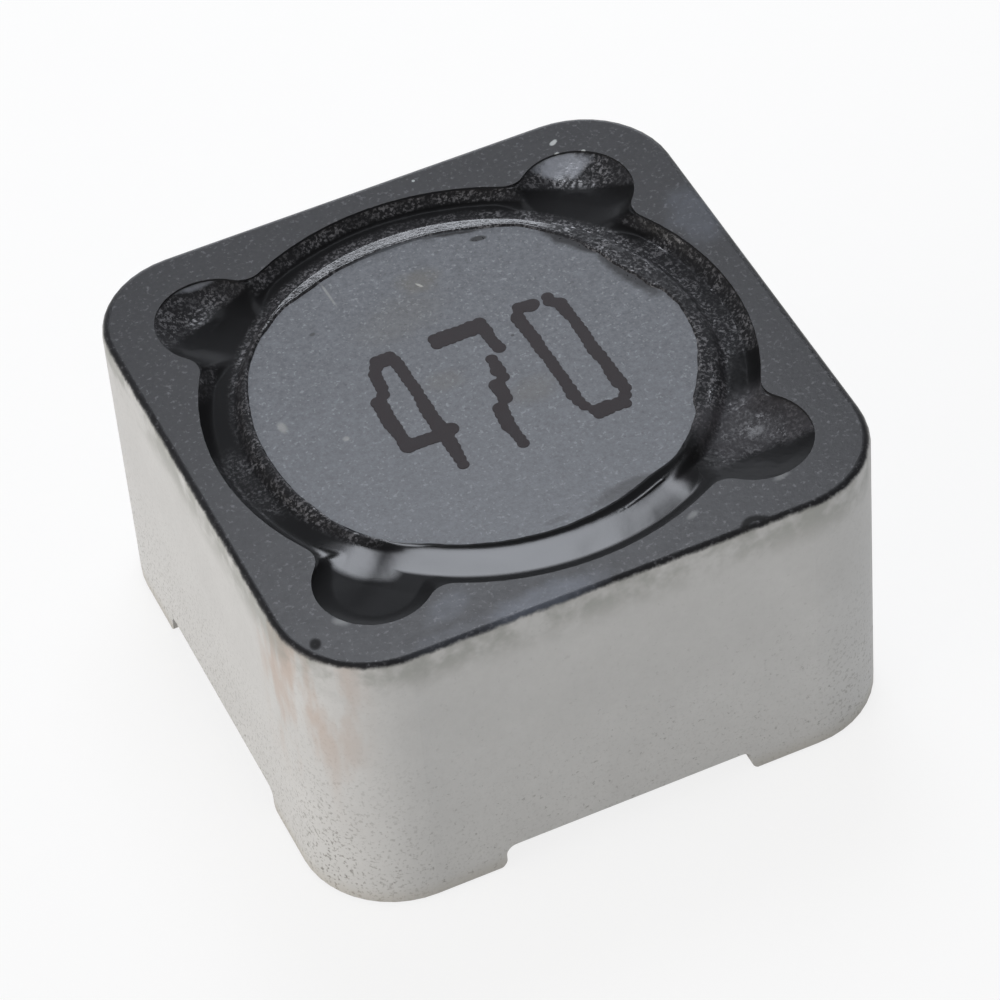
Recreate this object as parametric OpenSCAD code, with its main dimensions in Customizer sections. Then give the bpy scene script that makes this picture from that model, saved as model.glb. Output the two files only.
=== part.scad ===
// Shielded surface-mount power inductor.
// A ferrite bobbin wound with enamelled copper wire stands inside a square
// ferrite shield. A black adhesive bead with four lobes joins the two at the
// top. Two bent tinned terminals are glued under the bobbin: each has a flat
// solder pad in a recess of the shield and an arm that holds one wire end.
// Frame: +Z up, origin at the centre of the plane of the two solder pads.

/* [Shield] */
// Width of the square shield across its flat sides
body_w = 12; // [10.8:0.1:13.2]
// Wall left between the bore and the middle of each side
wall_t = 0.65; // [0.5:0.05:0.9]
// Height of the whole inductor above the circuit board
body_h = 6.7; // [6:0.05:8]
// Radius of the four upright corners
corner_r = 1.95; // [1.4:0.05:2.2]
// Rounding of the top rim
rim_r = 0.16; // [0.04:0.02:0.24]
// Rounding of the rim at the feet
foot_r = 0.04; // [0.02:0.01:0.1]
// Height of the shield's feet above the circuit board
foot_lift = 0.05; // [0.02:0.01:0.1]
// Width of the recess in the bottom edge of each side
recess_w = 5.2; // [4.6:0.1:5.6]
// Height of each recess above the feet
recess_h = 0.55; // [0.5:0.05:0.8]
// Rounding of the ends of each recess
recess_r = 0.22; // [0.1:0.02:0.24]

/* [Bobbin] */
// Thickness of the top flange
top_flange_t = 1.2; // [1:0.1:1.4]
// Thickness of the bottom flange
bottom_flange_t = 1.1; // [0.9:0.1:1.4]
// Depth of the winding space, from the flanges' rim in to the post
winding_depth = 2.25; // [1.9:0.05:2.6]
// Width of the bevel round the top flange
bevel_w = 0.25; // [0.2:0.05:0.4]
// Height of the bevel round the top flange
bevel_h = 0.45; // [0.4:0.05:0.6]
// Depth of the bobbin's top face below the shield's top face
top_set = 0.1; // [0.05:0.01:0.16]

/* [Adhesive bead] */
// Gap between the bobbin's flange and the shield's bore
glue_gap = 0.65; // [0.6:0.05:0.75]
// Depth of the bead below the shield's top face
bead_depth = 0.9; // [0.7:0.05:1.1]
// Depth of the trough along the bead
trough_depth = 0.28; // [0.15:0.01:0.3]
// Radius of each corner lobe
lobe_r = 1.15; // [1:0.05:1.2]
// Distance from the bore's wall out to the centre of a lobe
lobe_out = 0.13; // [0.05:0.01:0.2]
// Rounding between the bore and a lobe
lobe_blend_r = 0.45; // [0.3:0.05:0.6]
// Depth of the hollow in each lobe of the bead
lobe_dip = 0.5; // [0.3:0.05:0.6]

/* [Winding] */
// Diameter of the enamelled wire
wire_d = 0.5; // [0.4:0.05:0.6]
// Inner bend radius of the wire ends
wire_bend_r = 0.3; // [0.2:0.05:0.4]

/* [Terminals] */
// Thickness of the terminal sheet
sheet_t = 0.2; // [0.15:0.01:0.25]
// Length of each solder pad along X
pad_l = 1.8; // [1.5:0.05:2]
// Distance from the shield's side in to the end of a pad
pad_inset = 0.6; // [0.4:0.05:0.8]
// Side gap between a pad and its recess
pad_gap = 0.1; // [0.05:0.05:0.2]
// Width of the tongue under the bobbin
tongue_w = 3; // [2.4:0.1:3.6]
// Length of the tongue's flat stretch
tongue_l = 1.6; // [1.2:0.1:2]
// Height of the tongue's underside above the circuit board
tongue_rise = 0.45; // [0.4:0.05:0.6]
// Inner bend radius of the sheet
sheet_bend_r = 0.1; // [0.05:0.01:0.15]
// Rounding of the terminal's corners in plan
sheet_corner_r = 0.25; // [0.1:0.05:0.4]
// Width of the arm that reaches into a lobe
arm_w = 0.9; // [0.7:0.1:1.1]
// Thickness of the adhesive between tongue and bobbin
glue_t = 0.08; // [0.05:0.01:0.12]

/* [Solder joints] */
// Gap between the wire and the slot in the arm
solder_gap = 0.08; // [0.05:0.01:0.1]
// Height of the solder above and below the arm
solder_h = 0.22; // [0.15:0.01:0.3]

/* [Hidden] */
$fn = 64;

ferrite = [0.30, 0.31, 0.33];
die_skin = [0.64, 0.64, 0.62];
epoxy = [0.06, 0.06, 0.07];
copper = [0.72, 0.38, 0.18];
tin = [0.78, 0.78, 0.76];
amber = [0.45, 0.30, 0.12];

// How far a cutting shape runs past the face that it cuts
past = 1;

// Bore of the shield, and the bobbin that stands in it
bore_r = body_w / 2 - wall_t;
flange_r = bore_r - glue_gap;
lobe_c = bore_r + lobe_out;
lobe_angles = [45, 135, 225, 315];

// Heights of the stack, from the board up
tongue_top = tongue_rise + sheet_t;
bobbin_z = tongue_top + glue_t;
bobbin_top = body_h - top_set;
window_z = bobbin_z + bottom_flange_t;
window_h = bobbin_top - top_flange_t - window_z;

// Coil: turns lie side by side, and each layer sits in the hollows of the one below
post_r = flange_r - winding_depth;
wire_r = wire_d / 2;
coil_margin = 0.15;
turn_pitch = 0.97 * wire_d;
layer_pitch = turn_pitch * sin(60);
layer_pairs = floor(((winding_depth - coil_margin - wire_d) / layer_pitch + 1) / 2);
layers = 2 * max(1, layer_pairs);
turns = floor(window_h / turn_pitch - 0.5);
coil_h = (turns + 0.5) * turn_pitch;
inner_turn_r = post_r + wire_r;
outer_turn_r = inner_turn_r + (layers - 1) * layer_pitch;

// Wire ends: the first leaves along a groove in the bottom flange. The last leaves above
// it, and starts a little inside its turn so that the two fuse.
groove_clear = 0.05;
groove_depth = wire_d + groove_clear;
start_z = window_z - groove_depth + wire_r;
finish_z = window_z + wire_r + turn_pitch / 2;
finish_bite = 0.03;
finish_r = outer_turn_r - finish_bite;
wire_turn_r = wire_bend_r + wire_r;
wire_end_z = tongue_rise - solder_h / 2;

// Terminals: pad, S-bend and tongue, seen from the side
pad_out = body_w / 2 - pad_inset;
pad_in = pad_out - pad_l;
pad_w = recess_w - 2 * pad_gap;
s_bend_angle = 60;
s_bend_steps = 6;
s_bend_r = sheet_bend_r + sheet_t / 2;
s_bend_slope = (tongue_rise - 2 * s_bend_r * (1 - cos(s_bend_angle))) / sin(s_bend_angle);
s_bend_run = 2 * s_bend_r * sin(s_bend_angle) + s_bend_slope * cos(s_bend_angle);
tongue_out = pad_in - s_bend_run;
tongue_in = tongue_out - tongue_l;
slot_r = wire_r + solder_gap;
eye_r = arm_w / 2 + solder_gap;

// ---------- shield ----------

// Half of an upright section, rounded at its outer top and foot corners
module rounded_half(half, h, top_r, low_r) {
    square([half - low_r, h / 2]);
    square([half - top_r, h]);
    translate([0, low_r]) square([half, h - low_r - top_r]);
    translate([half - low_r, low_r]) circle(low_r);
    translate([half - top_r, h - top_r]) circle(top_r);
}

// Square block with round upright corners and rounded rims
module rounded_block(w, h, corner, top_r, low_r) {
    side = w - 2 * corner;
    for (turn = [0, 90]) rotate(turn)
        translate([0, side / 2]) rotate([90, 0, 0]) linear_extrude(side) {
            rounded_half(w / 2, h, top_r, low_r);
            mirror([1, 0]) rounded_half(w / 2, h, top_r, low_r);
        }
    for (x = [-1, 1], y = [-1, 1])
        translate([x * side / 2, y * side / 2])
            rotate_extrude() intersection() {
                rounded_half(corner, h, top_r, low_r);
                square([corner, h]);
            }
}

// Point on a circle about the origin
function on_circle(r, a) = [r * cos(a), r * sin(a)];

// Angle at the origin of a triangle with sides a and b there and side c opposite
function corner_angle(a, b, c) = acos((a * a + b * b - c * c) / (2 * a * b));

// Fills the sharp tip between the bore and a lobe out to a tangent arc
module lobe_blend() {
    q = lobe_blend_r;
    lobe = [lobe_c, 0];
    arc_c = on_circle(bore_r + q, corner_angle(bore_r + q, lobe_c, lobe_r + q));
    tip = on_circle(bore_r, corner_angle(bore_r, lobe_c, lobe_r));
    on_bore = arc_c * bore_r / (bore_r + q);
    on_lobe = lobe + (arc_c - lobe) * lobe_r / (lobe_r + q);
    inward = (tip - arc_c) / norm(tip - arc_c);
    difference() {
        polygon([on_bore, tip + inward * q / 2, on_lobe]);
        translate(arc_c) circle(q);
    }
}

// Outline of the shield's bore: a circle with a lobe on each diagonal
module bore_outline() {
    circle(bore_r);
    for (a = lobe_angles) rotate(a) {
        translate([lobe_c, 0]) circle(lobe_r);
        lobe_blend();
        mirror([0, 1]) lobe_blend();
    }
}

// Section of a recess: a flat roof with round ends over flared feet
module recess_outline() {
    half = recess_w / 2;
    q = recess_r;
    translate([-half + q, -past]) square([2 * (half - q), past + recess_h]);
    translate([-half, -past]) square([2 * half, past + recess_h - q]);
    for (side = [-1, 1]) scale([side, 1]) {
        translate([half - q, recess_h - q]) circle(q);
        difference() {
            translate([half - q, -past]) square([2 * q, past + q]);
            translate([half + q, q]) circle(q);
            translate([half + q, -past]) square([q, past + 2 * q]);
        }
    }
}

module shield_ring() {
    shield_h = body_h - foot_lift;
    color(ferrite) translate([0, 0, foot_lift]) difference() {
        rounded_block(body_w, shield_h, corner_r, rim_r, foot_r);
        translate([0, 0, -past]) linear_extrude(shield_h + 2 * past) bore_outline();
        for (turn = [0, 90]) rotate(turn)
            translate([0, body_w / 2 + past, 0]) rotate([90, 0, 0])
                linear_extrude(body_w + 2 * past) recess_outline();
    }
}

// ---------- bobbin ----------

// Straight run that leaves the circle of radius r as a tangent and ends over the
// centre of the lobe at angle 0, laid along +X from the point where it leaves
module tangent_run(r) {
    rotate(-acos(r / lobe_c)) translate([r, 0]) rotate(90) children();
}

function tangent_length(r) = sqrt(lobe_c * lobe_c - r * r);

module bobbin_section() {
    square([post_r, bobbin_top - bobbin_z]);
    square([flange_r, bottom_flange_t]);
    top = bobbin_top - bobbin_z;
    polygon([
        [0, top - top_flange_t], [flange_r, top - top_flange_t],
        [flange_r, top - bevel_h], [flange_r - bevel_w, top], [0, top]
    ]);
}

// Groove in the bottom flange for the first wire end
module start_groove() {
    width = wire_d + 2 * groove_clear;
    translate([0, 0, window_z - groove_depth]) rotate(lobe_angles[2]) tangent_run(inner_turn_r) {
        cylinder(d = width, h = groove_depth);
        translate([0, -width / 2, 0]) cube([tangent_length(inner_turn_r), width, groove_depth]);
    }
}

module bobbin_core() {
    color(ferrite) difference() {
        translate([0, 0, bobbin_z]) rotate_extrude() bobbin_section();
        start_groove();
    }
}

// ---------- winding ----------

module coil_section() {
    square([outer_turn_r - post_r, coil_h]);
    for (j = [0 : turns - 1])
        translate([outer_turn_r - post_r, wire_r + (j + 0.5) * turn_pitch]) intersection() {
            circle(wire_r);
            translate([-wire_r, -turn_pitch]) square([wire_d, coil_h]);
        }
}

// A wire end: along +X at height z, then down to the terminal
module wire_end(length, z) {
    translate([0, 0, z]) rotate([0, 90, 0]) cylinder(d = wire_d, h = length - wire_turn_r);
    translate([length - wire_turn_r, 0, z - wire_turn_r])
        rotate([90, 0, 0]) rotate_extrude(angle = 90) translate([wire_turn_r, 0]) circle(wire_r);
    translate([length, 0, wire_end_z]) cylinder(d = wire_d, h = z - wire_turn_r - wire_end_z);
}

module copper_coil() {
    color(copper) {
        translate([0, 0, window_z]) rotate_extrude() translate([post_r, 0]) coil_section();
        rotate(lobe_angles[0]) tangent_run(finish_r) wire_end(tangent_length(finish_r), finish_z);
        rotate(lobe_angles[2]) tangent_run(inner_turn_r) {
            wire_end(tangent_length(inner_turn_r), start_z);
            translate([0, 0, start_z]) sphere(wire_r);
            translate([0, 0, start_z]) cylinder(d = wire_d, h = window_z + wire_r - start_z);
        }
    }
}

// ---------- adhesive bead ----------

// Flat rim left at both edges of the trough
bead_land = 0.04;

// Section of what the trough takes away: all above an arc from bobbin to shield
module trough_section() {
    inner = [flange_r - bevel_w + bead_land, bobbin_top];
    outer = [bore_r - bead_land, body_h];
    width = norm(outer - inner);
    arc_r = width * width / (8 * trough_depth) + trough_depth / 2;
    middle = (inner + outer) / 2;
    up = [inner[1] - outer[1], outer[0] - inner[0]] / width;
    translate(middle + up * (arc_r - trough_depth)) circle(arc_r);
    translate([0, bobbin_top]) square([middle[0], body_h]);
}

// Hollow of one lobe: the cap of a ball that meets the shield's top near the lobe's wall
module lobe_hollow() {
    rim = lobe_r - bead_land;
    ball_r = (rim * rim + lobe_dip * lobe_dip) / (2 * lobe_dip);
    translate([lobe_c, 0, body_h - lobe_dip + ball_r]) sphere(ball_r);
}

module adhesive_bead() {
    color(epoxy) difference() {
        translate([0, 0, body_h - bead_depth]) linear_extrude(bead_depth) bore_outline();
        translate([0, 0, bobbin_z]) rotate_extrude() bobbin_section();
        rotate_extrude() trough_section();
        for (a = lobe_angles) rotate(a) lobe_hollow();
    }
}

// ---------- terminals ----------

// One turning of the sheet's middle line: points with their headings
function turning(centre, r, from, to, steps) = [
    for (i = [0 : steps])
        let (a = from + (to - from) * i / steps)
        [centre + on_circle(r, a), a]
];

// Side outline of the bent sheet, from the pad's outer end to the tongue's inner end
function sheet_outline() =
    let (
        mid = sheet_t / 2,
        low = turning([pad_in, mid + s_bend_r], s_bend_r, 270, 270 - s_bend_angle, s_bend_steps),
        high = turning([tongue_out, tongue_rise + mid - s_bend_r], s_bend_r, 90 - s_bend_angle, 90, s_bend_steps)
    )
    concat(
        [[pad_out, 0]], [for (p = low) p[0] + on_circle(mid, p[1])],
        [for (p = high) p[0] - on_circle(mid, p[1])], [[tongue_in, tongue_rise]],
        [[tongue_in, tongue_top]],
        [for (i = [s_bend_steps : -1 : 0]) high[i][0] + on_circle(mid, high[i][1])],
        [for (i = [s_bend_steps : -1 : 0]) low[i][0] - on_circle(mid, low[i][1])],
        [[pad_out, sheet_t]]
    );

// Rectangle from x0 to x1, centred on Y, with rounded corners
module rounded_plate(x0, x1, w, r) {
    translate([x0 + r, -w / 2]) square([x1 - x0 - 2 * r, w]);
    translate([x0, -w / 2 + r]) square([x1 - x0, w - 2 * r]);
    for (x = [x0 + r, x1 - r], y = [-w / 2 + r, w / 2 - r]) translate([x, y]) circle(r);
}

// Arm from the tongue to the wire, with a slot that opens on its far side
module terminal_arm() {
    root = [tongue_out - arm_w / 2, tongue_w / 2 - arm_w / 2];
    wire = on_circle(lobe_c, lobe_angles[0]);
    reach = norm(wire - root);
    translate([root[0], root[1], tongue_rise]) rotate(atan2(wire[1] - root[1], wire[0] - root[0]))
        difference() {
            linear_extrude(sheet_t) {
                translate([0, -arm_w / 2]) square([reach, arm_w]);
                translate([reach, 0]) circle(eye_r);
            }
            translate([reach, 0, -past]) cylinder(r = slot_r, h = sheet_t + 2 * past);
            translate([reach, -slot_r, -past]) cube([eye_r + past, 2 * slot_r, sheet_t + 2 * past]);
        }
}

module terminal() {
    color(tin) {
        intersection() {
            translate([0, pad_w / 2, 0]) rotate([90, 0, 0]) linear_extrude(pad_w) polygon(sheet_outline());
            linear_extrude(tongue_top) {
                rounded_plate(pad_in, pad_out, pad_w, sheet_corner_r);
                rounded_plate(tongue_in, pad_in + 2 * sheet_corner_r, tongue_w, sheet_corner_r);
            }
        }
        terminal_arm();
    }
}

// Thin pad of adhesive between a tongue and the bobbin
module terminal_glue() {
    color(amber) translate([0, 0, tongue_top]) linear_extrude(glue_t)
        rounded_plate(tongue_in, tongue_out, tongue_w, sheet_corner_r);
}

// ---------- solder ----------

// Section of a joint: a fillet each side of the arm that runs out on the wire
module solder_section() {
    steps = 6;
    foot = eye_r - bead_land;
    neck = foot - slot_r;
    side = [for (i = [0 : steps]) let (a = 90 * i / steps)
        [foot - neck * sin(a), solder_h * (1 - cos(a))]];
    polygon(concat(
        [[0, -solder_h]], [for (i = [steps : -1 : 0]) [side[i][0], -side[i][1]]],
        [[slot_r, 0], [slot_r, sheet_t]], [for (p = side) [p[0], sheet_t + p[1]]],
        [[0, sheet_t + solder_h]]
    ));
}

module solder_joint() {
    color(tin) translate(concat(on_circle(lobe_c, lobe_angles[0]), tongue_rise)) difference() {
        rotate_extrude() solder_section();
        translate([0, 0, wire_end_z - tongue_rise]) cylinder(d = wire_d, h = body_h);
    }
}

// ---------- assembly ----------

module opposite() {
    rotate(180) children();
}

shield_ring();
bobbin_core();
copper_coil();
adhesive_bead();
terminal();  // terminal_right
opposite() terminal();  // terminal_left
terminal_glue();  // terminal_glue_right
opposite() terminal_glue();  // terminal_glue_left
solder_joint();  // solder_joint_right
opposite() solder_joint();  // solder_joint_left
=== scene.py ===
"""Shielded surface-mount power inductor: finishes, adhesive bead, printed value and studio."""

import functools
import logging
import math
from dataclasses import astuple, dataclass, field
from enum import Enum
from typing import ClassVar, Sequence, Union

import bpy
import numpy as np
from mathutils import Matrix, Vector, noise


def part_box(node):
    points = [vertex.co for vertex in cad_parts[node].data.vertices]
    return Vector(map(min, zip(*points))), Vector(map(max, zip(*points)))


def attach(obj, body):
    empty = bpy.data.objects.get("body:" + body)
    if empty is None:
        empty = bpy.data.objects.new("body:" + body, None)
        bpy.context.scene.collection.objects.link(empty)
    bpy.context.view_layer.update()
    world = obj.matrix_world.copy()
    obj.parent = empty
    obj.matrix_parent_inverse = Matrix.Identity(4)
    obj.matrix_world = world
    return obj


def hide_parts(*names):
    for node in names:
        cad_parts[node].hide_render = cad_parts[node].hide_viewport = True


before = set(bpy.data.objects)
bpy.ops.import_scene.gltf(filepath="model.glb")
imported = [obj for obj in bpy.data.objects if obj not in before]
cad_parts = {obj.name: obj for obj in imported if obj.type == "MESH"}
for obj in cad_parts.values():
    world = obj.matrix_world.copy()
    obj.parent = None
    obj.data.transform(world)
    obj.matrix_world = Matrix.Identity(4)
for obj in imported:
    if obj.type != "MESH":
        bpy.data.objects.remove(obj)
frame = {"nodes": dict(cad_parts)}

MM = 0.001
ROOT = "root"
LOG = logging.getLogger("inductor")

# the shield's bore, in millimetres: how far outside it the centres of its lobes lie, the lobes'
# radius, and the rounding where they meet it
LOBE_OUT = 0.13
LOBE_R = 1.15
LOBE_BLEND = 0.45

Colour = tuple[float, float, float]
Pair = tuple[float, float]


def grey(level: float) -> Colour:
    """A neutral colour of one linear level."""
    return (level, level, level)


# ---------------------------------------------------------------- shader bench


class Wire:
    """A shader socket's output, with arithmetic that adds Math nodes."""

    def __init__(self, bench: "Bench", socket: bpy.types.NodeSocket) -> None:
        """Keeps the socket and the bench that adds nodes after it."""
        self.bench = bench
        self.socket = socket

    def _math(self, operation: str, first: "Level", second: "Level" = 0.0, clamp: bool = False) -> "Wire":
        """Adds one Math node.

        Args:
            operation: the Math node's operation.
            first: its first value.
            second: its second value.
            clamp: whether the result is kept between 0 and 1.

        Returns:
            The node's result.
        """
        return self.bench.node(
            "ShaderNodeMath", {"operation": operation, "use_clamp": clamp}, {0: first, 1: second}
        )[0]

    def __add__(self, other: "Level") -> "Wire":
        """self + other."""
        return self._math("ADD", self, other)

    __radd__ = __add__

    def __mul__(self, other: "Level") -> "Wire":
        """self * other."""
        return self._math("MULTIPLY", self, other)

    __rmul__ = __mul__

    def __sub__(self, other: "Level") -> "Wire":
        """self - other."""
        return self._math("SUBTRACT", self, other)

    def __rsub__(self, other: "Level") -> "Wire":
        """other - self."""
        return self._math("SUBTRACT", other, self)

    def __truediv__(self, other: "Level") -> "Wire":
        """self / other."""
        return self._math("DIVIDE", self, other)

    def __pow__(self, other: "Level") -> "Wire":
        """self to the power other."""
        return self._math("POWER", self, other)

    def __abs__(self) -> "Wire":
        """Size of self without its sign."""
        return self._math("ABSOLUTE", self)

    def most(self, other: "Level") -> "Wire":
        """The larger of the two."""
        return self._math("MAXIMUM", self, other)

    def least(self, other: "Level") -> "Wire":
        """The smaller of the two."""
        return self._math("MINIMUM", self, other)

    def clamped(self) -> "Wire":
        """self kept between 0 and 1."""
        return self._math("ADD", self, 0.0, clamp=True)

    def ramp(self, low: float, high: float) -> "Wire":
        """A smooth step of self.

        Args:
            low: the level that gives 0.
            high: the level that gives 1; it may be the lower of the two.

        Returns:
            The step, between 0 and 1.
        """
        if low <= high:
            start, end, out_low, out_high = low, high, 0.0, 1.0
        else:
            start, end, out_low, out_high = high, low, 1.0, 0.0
        return self.bench.node(
            "ShaderNodeMapRange",
            {"interpolation_type": "SMOOTHSTEP"},
            {"Value": self, "From Min": start, "From Max": end, "To Min": out_low, "To Max": out_high},
        )["Result"]


Level = Union[Wire, float]


class Made:
    """A node that the bench has added; its outputs are read by name or number."""

    def __init__(self, bench: "Bench", node: bpy.types.Node) -> None:
        """Keeps the node and its bench."""
        self.bench = bench
        self.node = node

    def __getitem__(self, key: Union[str, int]) -> Wire:
        """One of the node's outputs."""
        return Wire(self.bench, self.node.outputs[key])


@dataclass(frozen=True)
class Patch:
    """A ragged patch in plan, in millimetres and degrees.

    Its edge is soft over a share of its radius, and noise of some waves per millimetre moves it.
    """

    centre: Pair
    radii: Pair
    turn: float = 0.0
    soft: float = 0.3
    ragged: float = 0.35
    scale: float = 2.5
    weight: float = 1.0


class Bench:
    """A node tree under construction, with its coordinates in millimetres."""

    def __init__(self, tree: bpy.types.NodeTree) -> None:
        """Empties the tree."""
        self.tree = tree
        tree.nodes.clear()
        self._place: Wire | None = None
        self._xyz: Made | None = None

    def node(self, kind: str, settings: dict | None = None, sockets: dict | None = None) -> Made:
        """Adds a node.

        Args:
            kind: the node's type.
            settings: its properties, set before its sockets; "stops" fills a ramp.
            sockets: values or wires for its inputs, by name or number.

        Returns:
            The node, whose outputs can be read.
        """
        made = self.tree.nodes.new(kind)
        for key, value in (settings or {}).items():
            if key == "stops":
                self._fill_ramp(made.color_ramp, value)
            else:
                setattr(made, key, value)
        for key, value in (sockets or {}).items():
            if isinstance(value, Wire):
                self.tree.links.new(value.socket, made.inputs[key])
            elif isinstance(value, tuple) and len(value) == 3 and made.inputs[key].type == "RGBA":
                made.inputs[key].default_value = (*value, 1.0)
            else:
                made.inputs[key].default_value = value
        return Made(self, made)

    @staticmethod
    def _fill_ramp(ramp: bpy.types.ColorRamp, stops: Sequence[tuple[float, Colour]]) -> None:
        """Gives a colour ramp its stops, in order of place.

        Args:
            ramp: the ramp to fill.
            stops: places from 0 to 1, each with its linear colour.
        """
        while len(ramp.elements) > 1:
            ramp.elements.remove(ramp.elements[-1])
        for index, (place, colour) in enumerate(stops):
            stop = ramp.elements[0] if index == 0 else ramp.elements.new(place)
            stop.position = place
            stop.color = (*colour, 1.0)

    @property
    def place(self) -> Wire:
        """Object coordinates in millimetres.

        Returns:
            The vector.
        """
        if self._place is None:
            coordinates = self.node("ShaderNodeTexCoord")["Object"]
            self._place = self.node(
                "ShaderNodeVectorMath", {"operation": "SCALE"}, {0: coordinates, "Scale": 1.0 / MM}
            )[0]
        return self._place

    def axis(self, name: str) -> Wire:
        """One coordinate in millimetres: "X", "Y" or "Z".

        Args:
            name: the axis.

        Returns:
            The coordinate.
        """
        if self._xyz is None:
            self._xyz = self.node("ShaderNodeSeparateXYZ", None, {0: self.place})
        return self._xyz[name]

    def grain(self, scale: float, detail: float = 2.0, rough: float = 0.5, stretch: Colour = (1, 1, 1),
              shift: float = 0.0) -> Wire:
        """Soft noise about 0.5.

        Args:
            scale: waves per millimetre.
            detail: octaves.
            rough: weight of the finer octaves.
            stretch: how much denser the pattern is along each axis.
            shift: moves the pattern, so that two of one scale differ.

        Returns:
            The noise, from 0 to 1.
        """
        where = self.node(
            "ShaderNodeVectorMath", {"operation": "MULTIPLY_ADD"},
            {0: self.place, 1: tuple(stretch), 2: (shift, shift * 1.7, -shift)},
        )[0]
        return self.node(
            "ShaderNodeTexNoise", None,
            {"Vector": where, "Scale": scale, "Detail": detail, "Roughness": rough},
        )["Fac"]

    def mix(self, share: Level, first: Union[Wire, Colour], second: Union[Wire, Colour]) -> Wire:
        """Blends two colours.

        Args:
            share: how much of the second shows.
            first: the colour below.
            second: the colour above.

        Returns:
            The blended colour.
        """
        return self.node("ShaderNodeMix", {"data_type": "RGBA"}, {0: share, 6: first, 7: second})[2]

    def tone(self, level: Level, colour: Union[Wire, Colour]) -> Wire:
        """A colour made darker or lighter by a factor near 1.

        Args:
            level: the factor.
            colour: the colour before.

        Returns:
            The colour after.
        """
        if isinstance(colour, tuple):
            parts = dict(zip(("Red", "Green", "Blue"), colour))
            colour = self.node("ShaderNodeCombineColor", None, parts)[0]
        return self.node("ShaderNodeVectorMath", {"operation": "SCALE"}, {0: colour, "Scale": level})[0]

    def spot(self, patch: Patch) -> Wire:
        """How much of a patch shows, from 0 outside it to its weight inside.

        Args:
            patch: the place, size and edge.

        Returns:
            The share that shows.
        """
        c, s = math.cos(math.radians(patch.turn)), math.sin(math.radians(patch.turn))
        x, y = self.axis("X") - patch.centre[0], self.axis("Y") - patch.centre[1]
        u = (x * c + y * s) / patch.radii[0]
        v = (y * c - x * s) / patch.radii[1]
        uneven = self.grain(patch.scale, 3.0, 0.6, shift=patch.centre[0]) - 0.5
        reach = (u * u + v * v) ** 0.5 + uneven * (2 * patch.ragged)
        inside = reach.ramp(1.0 + patch.soft / 2, 1.0 - patch.soft / 2)
        return inside if patch.weight == 1.0 else inside * patch.weight

    def spots(self, patches: Sequence[Patch]) -> Wire:
        """The strongest of several patches at each place."""
        return functools.reduce(Wire.most, [self.spot(patch) for patch in patches])

    def bump(self, height: Level, depth: float, strength: float = 1.0) -> Wire:
        """A normal tilted by a height.

        Args:
            height: the height, from 0 to 1.
            depth: how tall 1 stands, in millimetres.
            strength: how much of the tilt is used.

        Returns:
            The normal.
        """
        return self.node(
            "ShaderNodeBump", None, {"Height": height, "Distance": depth * MM, "Strength": strength}
        )["Normal"]

    def blend(self, share: Level, first: dict, second: dict) -> None:
        """Ends a material with two Principled shaders, of which the second takes this share.

        Args:
            share: how much of the second shows.
            first: the dull shader's sockets.
            second: the bright shader's sockets.
        """
        dull = self.node("ShaderNodeBsdfPrincipled", None, first)["BSDF"]
        bright = self.node("ShaderNodeBsdfPrincipled", None, second)["BSDF"]
        mixed = self.node("ShaderNodeMixShader", None, {0: share, 1: dull, 2: bright})["Shader"]
        self.node("ShaderNodeOutputMaterial", None, {"Surface": mixed})

    def surface(self, sockets: dict) -> None:
        """Ends a material with a Principled shader that has these sockets."""
        shader = self.node("ShaderNodeBsdfPrincipled", None, sockets)["BSDF"]
        self.node("ShaderNodeOutputMaterial", None, {"Surface": shader})


class Finish:
    """A surface finish that builds its own material once."""

    name: str = "finish"

    def build(self, bench: Bench) -> None:
        """Adds the finish's nodes.

        Args:
            bench: the material under construction.
        """
        raise NotImplementedError

    def material(self) -> bpy.types.Material:
        """The finish's material, made at the first call.

        Returns:
            The material.
        """
        known = bpy.data.materials.get(self.name)
        if known is not None:
            return known
        made = bpy.data.materials.new(self.name)
        made.use_nodes = True
        self.build(Bench(made.node_tree))
        return made

    def put_on(self, piece: bpy.types.Object) -> None:
        """Makes the finish the piece's only material."""
        piece.data.materials.clear()
        piece.data.materials.append(self.material())


# ------------------------------------------------------------------- finishes


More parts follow.
